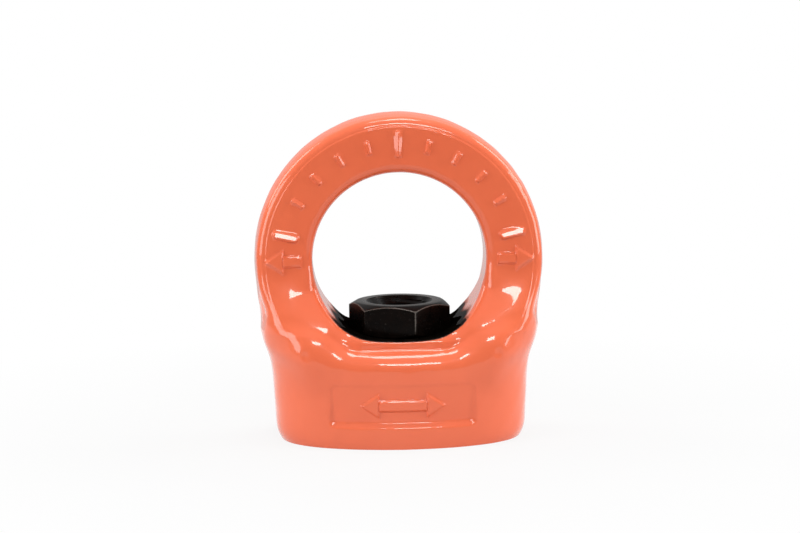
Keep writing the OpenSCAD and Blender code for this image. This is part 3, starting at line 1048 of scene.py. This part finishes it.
@dataclass
class Studio:
    """Pale floor, soft lamps, white surroundings and the camera."""

    frame_w: float = 800.0
    frame_h: float = 533.0
    focal_px: float = 2819.6
    distance: float = 0.750
    elevation: float = 8.03
    azimuth: float = -1.97
    roll: float = 0.812
    target: tuple[float, float, float] = (0.37 * MM, 0.0, 45.456 * MM)
    centre_px: tuple[float, float] = (400.0, 266.5)
    sensor: float = 36.0
    floor_half: float = 0.19
    shadow_reach: tuple[float, float] = (0.07, 0.17)
    surround: float = 0.22
    ceiling: float = 0.65
    behind: float = 0.45
    lamps: tuple[SoftBox, ...] = (
        SoftBox("left_box", (-0.86, -0.36, 0.24), 0.46, 0.56, 5.0),
        SoftBox("right_box", (0.92, -0.14, 0.24), 0.46, 0.56, 5.9),
        SoftBox("left_rear_box", (-0.80, 0.28, 0.62), 0.40, 0.60, 5.0),
        SoftBox("right_rear_box", (0.80, 0.28, 0.62), 0.40, 0.60, 5.0),
        SoftBox("top_box", (0.03, -0.05, 1.00), 0.34, 0.24, 11.5),
        SoftBox("front_box", (0.085, -0.70, 0.53), 0.34, 0.12, 19.0),
    )

    def camera(self) -> bpy.types.Object:
        """Sets the camera at the photograph's angle, with its roll and its width of view."""
        e, a, r = (math.radians(v) for v in (self.elevation, self.azimuth, self.roll))
        forward = Vector((-math.sin(a) * math.cos(e), math.cos(a) * math.cos(e), -math.sin(e)))
        right = forward.cross(Vector((0, 0, 1))).normalized()
        up = right.cross(forward)
        right_r = right * math.cos(r) - up * math.sin(r)
        up_r = right * math.sin(r) + up * math.cos(r)
        lens = bpy.data.cameras.new("camera")
        lens.sensor_width = self.sensor
        lens.lens = self.focal_px * self.sensor / self.frame_w
        lens.clip_start = 0.01
        piece = bpy.data.objects.new("camera", lens)
        place = Vector(self.target) - forward * self.distance
        basis = Matrix((right_r, up_r, -forward)).transposed().to_4x4()
        piece.matrix_world = Matrix.Translation(place) @ basis
        bpy.context.scene.collection.objects.link(piece)
        bpy.context.scene.camera = piece
        return piece

    def floor(self) -> bpy.types.Object:
        """A level pale floor that keeps the object's shadow and is white to the camera."""
        s = self.floor_half / MM
        points = np.array([(-s, -s, 0.0), (s, -s, 0.0), (s, s, 0.0), (-s, s, 0.0)])
        piece = add_mesh("floor", points, [np.array([[0, 1, 2, 3]])], "")
        shader = Shader("floor_paper", Base_Color=(0.52, 0.52, 0.52), Roughness=0.7)
        light = shader.node("ShaderNodeLightPath")
        glow = shader.node("ShaderNodeEmission", None, {"Color": (1.0, 1.0, 1.0, 1.0), "Strength": 1.0})
        seen = (Wire(shader, light.outputs["Is Camera Ray"]) + Wire(shader, light.outputs["Is Glossy Ray"])
                + Wire(shader, light.outputs["Is Transmission Ray"]))
        far = shader.radius().above(*self.shadow_reach)
        blend = shader.node("ShaderNodeMixShader", None, {0: (seen * (0.86 + 0.14 * far)).clamped()})
        shader.tree.links.new(shader.principled.outputs[0], blend.inputs[1])
        shader.tree.links.new(glow.outputs[0], blend.inputs[2])
        shader.tree.links.new(blend.outputs[0], shader.output.inputs["Surface"])
        piece.data.materials.append(shader.material)
        return piece

    def world(self) -> None:
        """White to the camera, and a plain grey surround for the light."""
        world = bpy.data.worlds.new("surround")
        bpy.context.scene.world = world
        world.use_nodes = True
        tree = world.node_tree
        tree.nodes.clear()
        light = tree.nodes.new("ShaderNodeLightPath")
        seen = tree.nodes.new("ShaderNodeBackground")
        seen.inputs["Color"].default_value = (1, 1, 1, 1)
        seen.inputs["Strength"].default_value = 1.0
        lit = tree.nodes.new("ShaderNodeBackground")
        lit.inputs["Color"].default_value = (1, 1, 1, 1)
        place = tree.nodes.new("ShaderNodeTexCoord")
        split = tree.nodes.new("ShaderNodeSeparateXYZ")
        ramp = tree.nodes.new("ShaderNodeMapRange")
        ramp.inputs["From Min"].default_value = 0.3
        ramp.inputs["From Max"].default_value = 0.95
        ramp.inputs["To Min"].default_value = self.surround
        ramp.inputs["To Max"].default_value = self.ceiling
        tree.links.new(place.outputs["Generated"], split.inputs[0])
        tree.links.new(split.outputs["Z"], ramp.inputs["Value"])
        back = tree.nodes.new("ShaderNodeMapRange")
        back.inputs["From Min"].default_value = 0.3
        back.inputs["From Max"].default_value = 0.85
        back.inputs["To Min"].default_value = 0.0
        back.inputs["To Max"].default_value = self.behind
        tree.links.new(split.outputs["Y"], back.inputs["Value"])
        both = tree.nodes.new("ShaderNodeMath")
        tree.links.new(ramp.outputs[0], both.inputs[0])
        tree.links.new(back.outputs[0], both.inputs[1])
        tree.links.new(both.outputs[0], lit.inputs["Strength"])
        blend = tree.nodes.new("ShaderNodeMixShader")
        output = tree.nodes.new("ShaderNodeOutputWorld")
        tree.links.new(light.outputs["Is Camera Ray"], blend.inputs[0])
        tree.links.new(lit.outputs[0], blend.inputs[1])
        tree.links.new(seen.outputs[0], blend.inputs[2])
        tree.links.new(blend.outputs[0], output.inputs["Surface"])

    def build(self) -> None:
        """Sets camera, floor, surround and lamps."""
        bpy.context.scene.view_settings.view_transform = "Standard"
        self.camera()
        self.floor()
        self.world()
        for lamp in self.lamps:
            lamp.build()


def main() -> None:
    """Builds the studio and the three pieces."""
    logging.basicConfig(level=logging.INFO, format="%(name)s: %(message)s")
    Studio().build()
    for maker in (EyeForging(), HexNut(), RetainingRing()):
        piece = maker.build()
        LOG.info("%s: %d faces", piece.name, len(piece.data.polygons))


if __name__ == "__main__":
    main()
